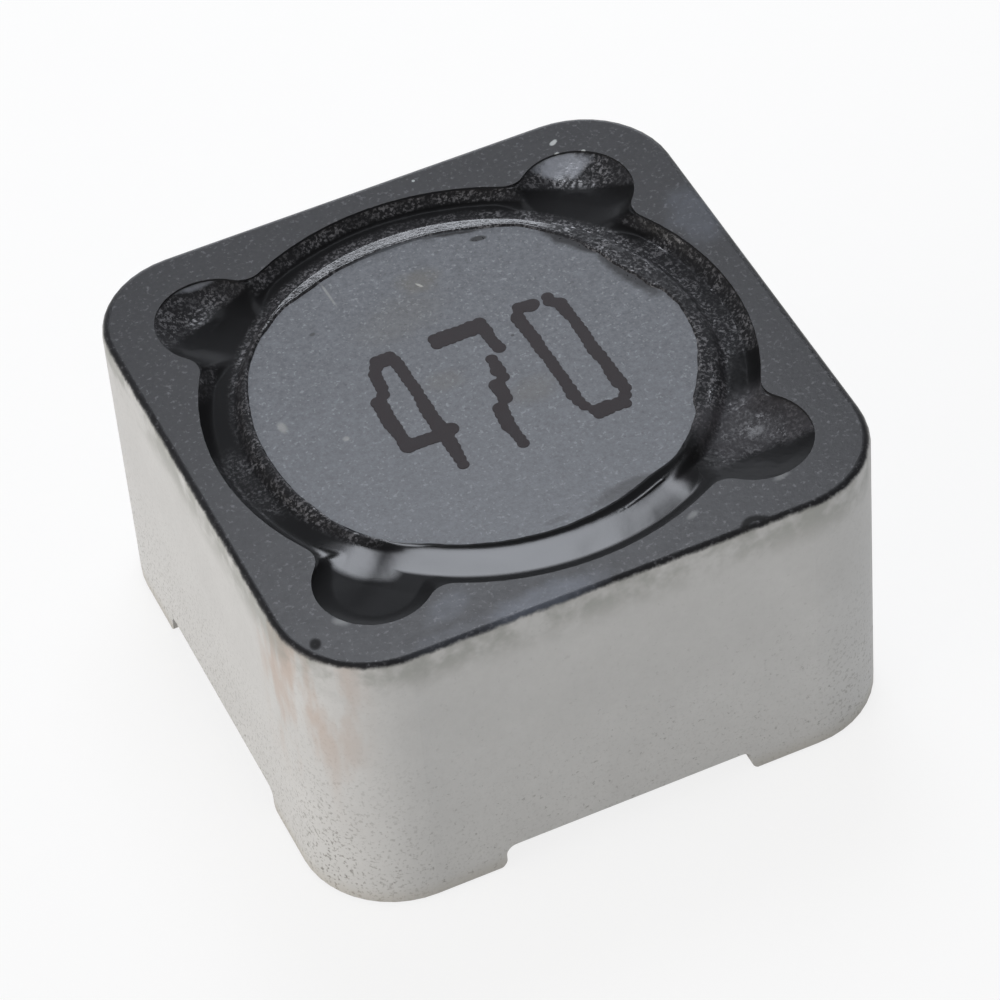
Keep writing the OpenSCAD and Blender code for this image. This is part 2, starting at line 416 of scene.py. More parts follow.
@dataclass(frozen=True)
class PressedFerrite(Finish):
    """Sintered ferrite: sides painted pale as a reflection of the white surroundings, dark punch faces, and
    a bore wall painted dark as wetting epoxy and as its shade.
    """

    top_z: float
    bore_r: float
    name: str = "pressed_ferrite"
    foot_z: float = 0.05
    rim: float = 0.16
    wetted: float = 0.03
    # painted reflection: the sides' pale grey stands for the white surroundings reflected in them
    side: Colour = (0.555, 0.552, 0.540)
    face: Colour = (0.0145, 0.0145, 0.0165)
    fleck: Colour = (0.13, 0.13, 0.14)
    bluish: Colour = (0.150, 0.170, 0.215)
    nick: Colour = (0.46, 0.48, 0.47)
    # wetting epoxy and painted shade on the bore's wall
    wet_and_shaded: Colour = (0.024, 0.024, 0.026)
    # painted shade for the pit and the dent in the punch face
    pit_shade: Colour = (0.006, 0.006, 0.006)
    freckle: Colour = (0.16, 0.15, 0.13)
    pore: Colour = (0.12, 0.115, 0.10)
    rust: Colour = (0.42, 0.28, 0.20)
    smudge: Colour = (0.26, 0.265, 0.24)
    foot: Colour = (0.40, 0.36, 0.29)

    # pale bluish patches on the top face near the front and right edges
    BLUISH_PATCHES: ClassVar[tuple[Patch, ...]] = (
        Patch((-1.45, -5.85), (1.15, 0.34), 4.0, 0.9, 0.45),
        Patch((-2.95, -5.15), (0.50, 0.26), 25.0, 1.0, 0.5, weight=0.55),
        Patch((-3.3, -5.9), (0.75, 0.25), 5.0, 1.0, 0.5, weight=0.35),
        Patch((5.65, 2.1), (0.50, 0.75), 0.0, 0.9, 0.5, weight=0.55),
    )
    PALE: ClassVar[tuple[Patch, ...]] = (
        Patch((3.98, 4.96), (0.05, 0.09), -25.0, 0.6, 0.5, 9.0),
        Patch((4.07, 5.35), (0.09, 0.05), 30.0, 0.6, 0.5, 9.0),
        Patch((4.49, 4.84), (0.04, 0.04), 0.0, 0.6, 0.3, 9.0),
        Patch((1.15, 5.66), (0.03, 0.03), 0.0, 0.6, 0.3, 9.0),
        Patch((1.97, -5.17), (0.13, 0.06), 20.0, 1.2, 0.5, 7.0, 0.30),
        Patch((3.85, -5.06), (0.15, 0.06), 10.0, 1.2, 0.5, 7.0, 0.25),
        Patch((-4.82, -4.55), (0.14, 0.10), -40.0, 1.2, 0.5, 7.0, 0.30),
    )
    # a small pit, and a dent at the front edge with the pad inside it that stayed level; their shade is
    # painted dark, not modelled
    PIT: ClassVar[Patch] = Patch((-5.46, -4.86), (0.13, 0.10), 60.0, 0.7, 0.2, 6.0)
    DENT: ClassVar[Patch] = Patch((2.90, -5.98), (0.31, 0.27), 0.0, 0.35, 0.15, 4.0)
    DENT_PAD: ClassVar[Patch] = Patch((2.90, -6.03), (0.19, 0.18), 0.0, 0.35, 0.15, 4.0)

    def build(self, bench: Bench) -> None:
        """Adds the finish's nodes.

        Args:
            bench: the material under construction.
        """
        x, y, z = bench.axis("X"), bench.axis("Y"), bench.axis("Z")
        side = self._side_and_painted_light(bench, x, y, z)
        face = self._face(bench)
        coarse, fine = bench.grain(3.2, 4.0, 0.62) - 0.5, bench.grain(14.0, 2.0, 0.5, shift=5.0) - 0.5
        chips = coarse * 0.09 + fine * 0.04
        rim_z = self.top_z - self.rim
        dark_top = (z + chips).ramp(rim_z + 0.05, rim_z + 0.12)
        dark_foot = (z + chips * 0.5).ramp(self.foot_z + 0.030, self.foot_z + 0.008)
        punch = dark_top.most(dark_foot)
        colour = bench.mix(punch, side, face)

        # the bore's wall, from the rim of the top face down, painted dark as wetting epoxy and as the shade
        # inside the bore
        lobe_at = (self.bore_r + LOBE_OUT) / math.sqrt(2)
        off_x, off_y = abs(x) - lobe_at, abs(y) - lobe_at
        in_lobe = LOBE_R + self.wetted - (off_x * off_x + off_y * off_y) ** 0.5
        in_bore = self.bore_r + self.wetted - (x * x + y * y) ** 0.5
        bore = in_lobe.most(in_bore).ramp(-0.02, 0.02) * z.ramp(self.top_z - 0.004, self.top_z - 0.02)
        colour = bench.mix(bore, colour, self.wet_and_shaded)
        # painted shade: the pit and the dent are darkened, not cut
        pit = self._painted_pit_shade(bench) * punch
        colour = bench.mix(pit, colour, self.pit_shade)

        height = bench.grain(12.0, 2.0, 0.5, shift=4.0)
        uneven = bench.grain(5.0, 3.0, 0.6, shift=8.0) - 0.5
        bench.surface({
            "Base Color": colour,
            "Roughness": 0.62 - 0.23 * punch + 0.55 * pit + uneven * 0.14,
            "Specular IOR Level": 0.44,
            "Normal": bench.bump(height, 0.003, 1.0),
        })

    def _side_and_painted_light(self, bench: Bench, x: Wire, y: Wire, z: Wire) -> Wire:
        """Colour of the sides: pale as a painted reflection of the white surroundings, lighter towards the
        bottom as painted floor bounce, cloudy, freckled towards the feet, darker and warmer at the feet, and
        stained along the top rim.

        Args:
            bench: the material under construction.
            x: place in millimetres.
            y: place in millimetres.
            z: height in millimetres.

        Returns:
            The colour.
        """
        clouds = 0.93 + 0.14 * bench.grain(0.7, 4.0, 0.55)
        mottle = 0.95 + 0.10 * bench.grain(6.0, 3.0, 0.6, shift=2.0)
        low = z.ramp(4.9, 0.3)
        # painted light: up to 6% lighter towards the bottom, for light bounced from the floor
        side = bench.tone(clouds * mottle * (1.0 + 0.06 * low), self.side)
        left = x.ramp(-5.2, -5.9)
        corner = (x * x + y * y).ramp(50.0, 60.0)
        freckle = bench.grain(13.0, 2.0, 0.6, shift=9.0).ramp(0.54, 0.66) * (0.15 + 0.85 * low)
        freckle = freckle * (0.20 + 0.55 * left + 0.45 * corner).least(1.0)
        side = bench.mix(freckle * 0.75, side, self.freckle)
        pits = bench.grain(9.0, 3.0, 0.7, shift=21.0).ramp(0.62, 0.70) * (0.2 + 0.8 * low)
        side = bench.mix(pits * 0.50, side, self.pore)
        scale = bench.grain(1.3, 3.0, 0.6, (1, 1, 0.3), shift=13.0).ramp(0.42, 0.62)
        bend = ((x + 5.9) * (x + 5.9) + (y + 4.6) * (y + 4.6)).ramp(3.2, 0.2) * z.ramp(1.5, 5.8)
        side = bench.mix(scale * bend * 0.50, side, self.rust)
        smudge = bench.grain(0.9, 4.0, 0.6, shift=31.0).ramp(0.40, 0.60) * z.ramp(5.55, 6.45)
        side = bench.mix(smudge * 0.62, side, self.smudge)
        return bench.mix(z.ramp(0.55, 0.05) * 0.35, side, self.foot)

    def _face(self, bench: Bench) -> Wire:
        """Colour of the punch faces: fine grain with pale bluish patches near the front and right edges,
        specks and a few dark marks.

        Args:
            bench: the material under construction.

        Returns:
            The colour.
        """
        dust = bench.grain(12.0, 3.0, 0.7, shift=3.0)
        face = bench.tone(0.10 + 1.80 * dust, self.face)
        fleck = bench.grain(11.0, 2.0, 0.6, shift=7.0).ramp(0.56, 0.76)
        face = bench.mix(fleck * 0.60, face, self.fleck)
        bluish = bench.spots(self.BLUISH_PATCHES) * (0.15 + 0.55 * bench.grain(5.0, 4.0, 0.7, shift=17.0))
        face = bench.mix(bluish, face, self.bluish)
        return bench.mix(bench.spots(self.PALE) * 0.85, face, self.nick)

    def _painted_pit_shade(self, bench: Bench) -> Wire:
        """Painted shade of a small pit in the punch face and of a ring-shaped dent at its front edge."""
        ring = bench.spot(self.DENT) * (1.0 - bench.spot(self.DENT_PAD))
        return bench.spot(self.PIT).most(ring) * 0.7


@dataclass(frozen=True)
class GroundFerrite(Finish):
    """Fine ground ferrite of the bobbin, with glints, faint stains and crept epoxy at its rim."""

    name: str = "ground_ferrite"
    base: Colour = (0.119, 0.127, 0.142)
    glint: Colour = (0.32, 0.34, 0.36)
    pore: Colour = (0.05, 0.05, 0.055)
    stain: Colour = (0.110, 0.100, 0.078)
    nick: Colour = (0.46, 0.46, 0.42)
    soot: Colour = (0.02, 0.02, 0.02)
    skin: Colour = (0.018, 0.018, 0.020)

    STAIN: ClassVar[tuple[Patch, ...]] = (
        Patch((0.05, 3.05), (0.42, 0.32), 0.0, 0.9, 0.6),
        Patch((-0.6, 2.3), (0.9, 0.5), 20.0, 1.2, 0.6, weight=0.4),
        Patch((0.8, -0.7), (0.45, 0.30), 0.0, 1.2, 0.6, weight=0.6),
        Patch((-0.6, 0.3), (0.35, 0.25), 0.0, 1.2, 0.6, weight=0.5),
    )
    PALE: ClassVar[tuple[Patch, ...]] = (
        Patch((0.07, 2.95), (0.03, 0.09), 30.0, 0.6, 0.5, 9.0, 0.8),
        Patch((-1.60, 3.55), (0.025, 0.34), 2.0, 0.8, 0.5, 9.0, 0.35),
        Patch((-3.81, 0.62), (0.08, 0.14), 0.0, 0.9, 0.5, 7.0, 0.4),
        Patch((-2.86, -0.23), (0.06, 0.06), 0.0, 0.8, 0.5, 9.0, 0.4),
    )
    DARK: ClassVar[tuple[Patch, ...]] = (
        Patch((-2.31, 2.68), (0.06, 0.05), 0.0, 0.8, 0.4, 9.0),
        Patch((1.08, 0.82), (0.035, 0.03), 0.0, 0.6, 0.3, 9.0),
    )
    CREEP: ClassVar[tuple[Patch, ...]] = (
        Patch((3.95, 1.45), (0.38, 1.00), 16.0, 0.9, 0.35, 3.0),
        Patch((3.30, 2.70), (0.28, 0.70), 38.0, 0.9, 0.40, 3.0),
        Patch((1.35, 4.03), (0.95, 0.12), -14.0, 0.8, 0.45, 4.0),
        Patch((1.62, 3.62), (0.16, 0.07), -10.0, 0.8, 0.4, 5.0),
        Patch((1.20, -3.90), (0.75, 0.20), 4.0, 1.0, 0.6, 3.0, 0.8),
        Patch((-0.25, -4.02), (0.30, 0.07), 0.0, 1.0, 0.6, 3.0, 0.5),
    )

    def build(self, bench: Bench) -> None:
        """Adds the finish's nodes.

        Args:
            bench: the material under construction.
        """
        grain = bench.grain(11.0, 3.0, 0.75)
        coarse = bench.grain(3.0, 3.0, 0.6, shift=2.0)
        base = bench.tone((0.25 + 1.30 * grain) * (0.84 + 0.32 * coarse), self.base)
        glint = bench.grain(14.0, 1.0, 0.5, shift=5.0).ramp(0.60, 0.76)
        base = bench.mix(glint * 0.38, base, self.glint)
        pit = bench.grain(12.0, 2.0, 0.5, shift=11.0).ramp(0.36, 0.24)
        base = bench.mix(pit * 0.6, base, self.pore)
        base = bench.mix(bench.spots(self.STAIN) * 0.5, base, self.stain)
        base = bench.mix(bench.spots(self.PALE) * 0.8, base, self.nick)
        base = bench.mix(bench.spots(self.DARK) * 0.8, base, self.soot)
        creep = self._creep(bench)
        base = bench.mix(creep, base, self.skin)
        height = bench.grain(11.0, 2.0, 0.5, shift=4.0)
        bench.surface({
            "Base Color": base,
            "Roughness": 0.385 + (grain - 0.5) * 0.22 - creep * 0.08,
            "Specular IOR Level": 0.42,
            "Normal": bench.bump(height, 0.003, 1.0),
        })

    def _creep(self, bench: Bench) -> Wire:
        """Where a skin of epoxy has crept over the rim and broken up on the grain."""
        broken = bench.grain(9.0, 3.0, 0.75, shift=25.0)
        return (bench.spots(self.CREEP) * 1.5 - (1.0 - broken) * 0.55).clamped()


@dataclass(frozen=True)
class BlackEpoxy(Finish):
    """Cured black epoxy: dull, glossy where it pooled, and glinting in broken specks elsewhere; its glints,
    grey sheen and pale reflections are painted into its colour.
    """

    disc_z: float
    name: str = "black_epoxy"
    base: Colour = (0.0045, 0.0045, 0.0050)
    # painted light laid into the black: a grey sheen over the broken skin, glints of its specks, a grey
    # sheen in the front right lobe and pale reflections at the back
    painted_sheen: Colour = (0.034, 0.034, 0.037)
    painted_glint: Colour = (0.165, 0.163, 0.172)
    painted_grey_sheen: Colour = (0.070, 0.067, 0.073)
    painted_pale_reflection: Colour = (0.300, 0.315, 0.350)
    painted_back_reflection: Colour = (0.125, 0.135, 0.150)
    lean: Pair = (0.33, 0.86)

    # painted reflections: pale patches in the back right lobe and along the back left
    PALE_REFLECTIONS: ClassVar[tuple[Patch, ...]] = (
        Patch((3.98, 4.80), (0.52, 0.26), -14.0, 0.6, 0.55, 4.0),
        Patch((-3.55, 5.00), (0.85, 0.07), 0.0, 0.9, 0.5, 4.0, 0.6),
    )
    GLOSSY: ClassVar[tuple[Patch, ...]] = (
        Patch((-3.90, -3.15), (0.80, 0.36), -54.0, 0.5, 0.15, 2.0),
        Patch((3.92, 4.72), (0.42, 0.22), -8.0, 0.6, 0.30, 4.0),
        Patch((-3.55, 4.86), (0.85, 0.10), 0.0, 0.8, 0.40, 4.0, 0.7),
        Patch((4.68, -3.15), (0.32, 0.10), 85.0, 0.8, 0.30, 4.0, 0.8),
        Patch((4.10, -3.52), (0.17, 0.10), 10.0, 0.9, 0.45, 5.0, 0.35),
    )

    def build(self, bench: Bench) -> None:
        """Adds the finish's nodes.

        Args:
            bench: the material under construction.
        """
        # the zones are placed along the camera's line of sight, so they lean with depth
        deep = self.disc_z - bench.axis("Z")
        x, y = bench.axis("X") - deep * self.lean[0], bench.axis("Y") - deep * self.lean[1]
        r = (x * x + y * y) ** 0.5
        gloss, broken_and_sheen = self._gloss(bench, x, y, r), self._broken_and_sheen(x, y, r)
        crowd = bench.grain(2.4, 2.0, 0.6, shift=51.0).ramp(0.38, 0.62) * 0.75 + 0.25
        # painted highlights: these glinting specks are laid into the colour as well as made glossy
        specks = bench.grain(14.0, 3.0, 0.7, shift=15.0).ramp(0.47, 0.62) * broken_and_sheen * crowd
        ripple = 0.3 * bench.grain(3.0, 2.0, 0.5, shift=9.0) + bench.grain(16.0, 2.0, 0.6) * broken_and_sheen
        # painted sheen: a grey patch in the front right lobe
        film = self._grey_sheen_zone(bench, x, y) * (0.1 + 0.9 * bench.grain(9.0, 3.0, 0.7, shift=33.0))
        # painted reflection: pale patches in the back right lobe and along the back left
        pale_reflections = bench.spots(self.PALE_REFLECTIONS) * (0.5 + 0.5 * bench.grain(7.0, 3.0, 0.7, shift=61.0))
        # painted reflection: a pale bluish band along the bead's inner edge at the back
        crept = r.ramp(4.27, 4.17) * y.ramp(2.4, 3.2) * (y - x * 1.1).ramp(-1.2, -0.4)
        base: Union[Wire, Colour] = self.base
        for share, colour in (
            (broken_and_sheen * 0.45, self.painted_sheen), (specks * 0.85, self.painted_glint), (film, self.painted_grey_sheen),
            (pale_reflections, self.painted_pale_reflection), (crept * 0.9, self.painted_back_reflection),
        ):
            base = bench.mix(share, base, colour)
        normal = bench.bump(ripple, 0.006, 1.0)
        bench.blend(
            (gloss.most(specks * 0.9) + 0.04).clamped(),
            {"Base Color": base, "Roughness": 0.55, "Specular IOR Level": 0.10, "Normal": normal},
            {"Base Color": base, "Roughness": 0.19, "Specular IOR Level": 0.5, "Normal": normal},
        )

    def _gloss(self, bench: Bench, x: Wire, y: Wire, r: Wire) -> Wire:
        """Where the skin set glossy: the front pool, the back of the lip, and two lobes.

        Args:
            bench: the material under construction.
            x: place in millimetres.
            y: place in millimetres.
            r: distance from the axis.

        Returns:
            The share, from 0 to 1.
        """
        edge = (bench.grain(4.0, 4.0, 0.7, shift=41.0) - 0.5) * 0.16
        front = (r + edge * 0.5).ramp(4.34, 4.44) * r.ramp(5.14, 5.04)
        front = front * y.ramp(-2.6, -3.1) * (x - y * 0.1).ramp(3.5, 2.6)
        back = (r + edge * 2.0).ramp(4.20, 4.28) * (r + edge).ramp(4.58, 4.50)
        back = back * y.ramp(2.7, 3.4) * (y - x * 1.35).ramp(-1.2, -0.3)
        return front.most(back).most(bench.spots(self.GLOSSY))

    @staticmethod
    def _broken_and_sheen(x: Wire, y: Wire, r: Wire) -> Wire:
        """Where the skin is broken into glinting specks, with a painted grey sheen, from 0 to 1.

        Args:
            x: place in millimetres.
            y: place in millimetres.
            r: distance from the axis.

        Returns:
            The share.
        """
        lip = r.ramp(4.86, 4.66) * y.ramp(-3.2, -2.6)
        lobes = abs(x).ramp(2.6, 3.0) * y.ramp(2.5, 2.9)
        wall = r.ramp(5.02, 5.14) * y.ramp(1.8, 2.8) * (1.0 - lobes)
        left = x.ramp(-4.55, -4.75) * abs(y + 0.5).ramp(1.2, 0.7) * 0.5
        right = x.ramp(4.1, 4.3) * abs(y - 0.2).ramp(2.0, 1.6) * 0.8
        upper = (abs(x) - 0.15 * y).ramp(2.1, 2.4) * (y + abs(x) * 0.45).ramp(5.75, 5.95)
        lower = x.ramp(2.7, 3.1) * y.ramp(-2.5, -2.9) * y.ramp(-4.30, -4.10) * 0.55
        return lip.most(wall).most(left).most(right).most(upper).most(lower)

    @staticmethod
    def _grey_sheen_zone(bench: Bench, x: Wire, y: Wire) -> Wire:
        """A painted grey sheen in the front right lobe."""
        ragged = (bench.grain(3.0, 3.0, 0.6, shift=47.0) - 0.5) * 0.6
        return (x + ragged).ramp(2.8, 3.3) * y.ramp(-2.3, -3.0) * (y + ragged).ramp(-4.30, -4.0) * 0.85


@dataclass(frozen=True)
class MarkingInk(Finish):
    """Brown-black printing ink, a little uneven."""

    name: str = "marking_ink"
    base: Colour = (0.021, 0.014, 0.016)

    def build(self, bench: Bench) -> None:
        """Adds the finish's nodes.

        Args:
            bench: the material under construction.
        """
        uneven = bench.grain(7.0, 3.0, 0.7)
        bench.surface({
            "Base Color": bench.tone(0.55 + 0.90 * uneven, self.base),
            "Roughness": 0.52 + 0.2 * uneven,
            "Specular IOR Level": 0.35,
            "Normal": bench.bump(bench.grain(20.0, 3.0, 0.7), 0.006, 0.8),
        })


@dataclass(frozen=True)
class TinPlate(Finish):
    """Matte tin plating over copper sheet, with rolling lines and tarnish."""

    name: str = "tin_plate"
    base: Colour = (0.60, 0.59, 0.56)
    tarnish: Colour = (0.42, 0.38, 0.30)

    def build(self, bench: Bench) -> None:
        """Adds the finish's nodes.

        Args:
            bench: the material under construction.
        """
        lines = bench.grain(9.0, 3.0, 0.6, (0.12, 1.0, 1.0))
        tarnish = bench.grain(1.6, 4.0, 0.6, shift=4.0)
        bench.surface({
            "Base Color": bench.mix(tarnish.ramp(0.5, 0.8) * 0.5, self.base, self.tarnish),
            "Metallic": 1.0,
            "Roughness": 0.30 + 0.22 * lines,
            "Normal": bench.bump(lines + 0.5 * bench.grain(20.0, 2.0, 0.6), 0.004, 0.7),
        })


@dataclass(frozen=True)
class SolderFillet(Finish):
    """Reflowed solder, bright with a few flux stains."""

    name: str = "solder_fillet"
    base: Colour = (0.66, 0.66, 0.64)
    flux: Colour = (0.35, 0.26, 0.12)

    def build(self, bench: Bench) -> None:
        """Adds the finish's nodes.

        Args:
            bench: the material under construction.
        """
        flux = bench.grain(3.0, 3.0, 0.6)
        bench.surface({
            "Base Color": bench.mix(flux.ramp(0.55, 0.7) * 0.6, self.base, self.flux),
            "Metallic": 1.0,
            "Roughness": 0.18 + 0.2 * flux,
            "Normal": bench.bump(bench.grain(8.0, 3.0, 0.6), 0.01, 0.6),
        })


@dataclass(frozen=True)
class EnamelledCopper(Finish):
    """Copper wire under clear enamel."""

    name: str = "enamelled_copper"
    base: Colour = (0.56, 0.21, 0.08)

    def build(self, bench: Bench) -> None:
        """Adds the finish's nodes.

        Args:
            bench: the material under construction.
        """
        shade = bench.grain(2.5, 3.0, 0.6)
        bench.surface({
            "Base Color": bench.tone(0.75 + 0.5 * shade, self.base),
            "Metallic": 0.9,
            "Roughness": 0.26 + 0.12 * shade,
            "Coat Weight": 0.7,
            "Coat Roughness": 0.12,
            "Normal": bench.bump(bench.grain(6.0, 2.0, 0.5), 0.006, 0.5),
        })


@dataclass(frozen=True)
class AmberAdhesive(Finish):
    """Thin amber adhesive under the terminals."""

    name: str = "amber_adhesive"
    base: Colour = (0.20, 0.11, 0.04)

    def build(self, bench: Bench) -> None:
        """Adds the finish's nodes.

        Args:
            bench: the material under construction.
        """
        blot = bench.grain(4.0, 3.0, 0.6)
        bench.surface({
            "Base Color": bench.tone(0.7 + 0.6 * blot, self.base),
            "Roughness": 0.35 + 0.15 * blot,
            "Normal": bench.bump(blot, 0.01, 0.6),
        })


@dataclass(frozen=True)
class PaperSweep(Finish):
    """White studio paper that stays white to the eye and keeps a soft shadow."""

    name: str = "paper_sweep"
    paper: Colour = (0.92, 0.92, 0.92)
    lift: float = 0.82

    def build(self, bench: Bench) -> None:
        """Adds the finish's nodes.

        Args:
            bench: the material under construction.
        """
        path = bench.node("ShaderNodeLightPath")
        seen = path["Is Camera Ray"].most(path["Is Glossy Ray"]).most(path["Is Transmission Ray"])
        fibre = 0.98 + 0.04 * bench.grain(1.0, 3.0, 0.6)
        paper = bench.node("ShaderNodeBsdfDiffuse", None, {"Color": bench.tone(fibre, self.paper)})[0]
        glow = bench.node("ShaderNodeEmission", None, {"Color": grey(1.0), "Strength": 1.0})[0]
        both = bench.node("ShaderNodeMixShader", None, {0: seen * self.lift, 1: paper, 2: glow})[0]
        bench.node("ShaderNodeOutputMaterial", None, {"Surface": both})


# ---------------------------------------------------------------- modelling


def clear_selection() -> None:
    """Leaves edit mode and deselects every object."""
    if bpy.context.object is not None and bpy.context.object.mode != "OBJECT":
        bpy.ops.object.mode_set(mode="OBJECT")
    bpy.ops.object.select_all(action="DESELECT")


def take(piece: bpy.types.Object) -> None:
    """Makes a piece the only selected and the active object."""
    clear_selection()
    piece.select_set(True)
    bpy.context.view_layer.objects.active = piece


def apply_modifier(piece: bpy.types.Object, kind: str, **settings: object) -> None:
    """Adds a modifier with these settings and applies it.

    Args:
        piece: the object to change.
        kind: the modifier's type.
        settings: its properties.
    """
    take(piece)
    modifier = piece.modifiers.new(kind.title(), kind)
    for key, value in settings.items():
        setattr(modifier, key, value)
    bpy.ops.object.modifier_apply(modifier=modifier.name)


def points_of(piece: bpy.types.Object) -> np.ndarray:
    """A mesh's points as an array, in metres.

    Args:
        piece: the object.

    Returns:
        One row of x, y, z for each point.
    """
    points = np.empty(len(piece.data.vertices) * 3)
    piece.data.vertices.foreach_get("co", points)
    return points.reshape(-1, 3)


def move_points(piece: bpy.types.Object, points: np.ndarray) -> None:
    """Puts a mesh's points at these places, in metres."""
    piece.data.vertices.foreach_set("co", points.reshape(-1))
    piece.data.update()


def rumple(x: float, y: float, scale: float, seed: float) -> float:
    """Smooth noise in plan, from -1 to 1, at a number of waves per millimetre."""
    return noise.noise(Vector((x * scale + seed, y * scale - seed, seed * 0.37)))


@dataclass(frozen=True)
class BoreOutline:
    """Plan outline of the shield's bore: a circle with a rounded lobe on each diagonal."""

    bore_r: float
    lobe_c: float
    lobe_r: float
    blend_r: float

    @staticmethod
    def _corner(a: float, b: float, c: float) -> float:
        """Angle between the sides a and b of a triangle whose third side is c."""
        return math.acos((a * a + b * b - c * c) / (2 * a * b))

    def off_diagonal(self, angle: float) -> float:
        """How far an angle is from the nearest diagonal, in radians."""
        return abs(angle % (math.pi / 2) - math.pi / 4)

    def radius(self, angle: float) -> float:
        """Distance from the centre to the outline.

        Args:
            angle: direction in plan, in radians.

        Returns:
            The distance in millimetres.
        """
        off = self.off_diagonal(angle)
        far = self.bore_r + self.blend_r
        turn = self._corner(far, self.lobe_c, self.lobe_r + self.blend_r)
        if off >= turn:
            return self.bore_r
        share = self.lobe_r / (self.lobe_r + self.blend_r)
        touch_x = self.lobe_c + (far * math.cos(turn) - self.lobe_c) * share
        touch_y = far * math.sin(turn) * share
        if off > math.atan2(touch_y, touch_x):
            delta = off - turn
            return far * math.cos(delta) - math.sqrt(self.blend_r**2 - (far * math.sin(delta)) ** 2)
        return self.lobe_c * math.cos(off) + math.sqrt(self.lobe_r**2 - (self.lobe_c * math.sin(off)) ** 2)


# ------------------------------------------------------------- sub-assemblies


@dataclass
class FerriteBody:
    """The shield ring and the bobbin: solids that keep their shape and get their finish."""

    shield: bpy.types.Object
    bobbin: bpy.types.Object
    top_z: float
    bore_r: float

    def dress(self) -> list[bpy.types.Object]:
        """Puts the ferrite finishes on both pieces.

        Returns:
            The pieces.
        """
        PressedFerrite(self.top_z, self.bore_r).put_on(self.shield)
        GroundFerrite().put_on(self.bobbin)
        return [self.shield, self.bobbin]


@dataclass
class Winding:
    """The coil, its terminals, their adhesive and the solder joints."""

    nodes: dict[str, bpy.types.Object]
    finishes: dict[str, Finish] = field(default_factory=lambda: {
        "copper_coil": EnamelledCopper(),
        "terminal_right": TinPlate(),
        "terminal_left": TinPlate(),
        "terminal_glue_right": AmberAdhesive(),
        "terminal_glue_left": AmberAdhesive(),
        "solder_joint_right": SolderFillet(),
        "solder_joint_left": SolderFillet(),
    })

    def dress(self) -> list[bpy.types.Object]:
        """Puts each piece's finish on it.

        Returns:
            The pieces.
        """
        for name, finish in self.finishes.items():
            finish.put_on(self.nodes[name])
        return [self.nodes[name] for name in self.finishes]


def step(value: float, low: float, high: float) -> float:
    """A smooth step from 0 at low to 1 at high; low may be the larger."""
    t = min(1.0, max(0.0, (value - low) / (high - low)))
    return t * t * (3 - 2 * t)


def soft_least(first: float, second: float, blend: float) -> float:
    """The smaller of two values, rounded where they cross."""
    h = max(0.0, blend - abs(first - second)) / blend
    return min(first, second) - h * h * blend / 4


def eased(table: Sequence[Pair], place: float) -> float:
    """Reads a short table of (place, value) pairs, eased from each pair to the next.

    Args:
        table: the pairs, in order of place.
        place: where to read.

    Returns:
        The value there.
    """
    if place <= table[0][0]:
        return table[0][1]
    for (low, first), (high, last) in zip(table, table[1:]):
        if place <= high:
            return first + (last - first) * step(place, low, high)
    return table[-1][1]


@dataclass(frozen=True)
class Flow:
    """How the adhesive lies at one angle of the channel. Sizes in millimetres."""

    side: float
    crest: float
    lip_slope: float
    knee_r: float
    floor_slope: float
    wall: float
    rise: float
    sink: float

    def towards(self, other: "Flow", share: float) -> "Flow":
        """The flow a share of the way to another."""
        return Flow(*(a + (b - a) * share for a, b in zip(astuple(self), astuple(other))))


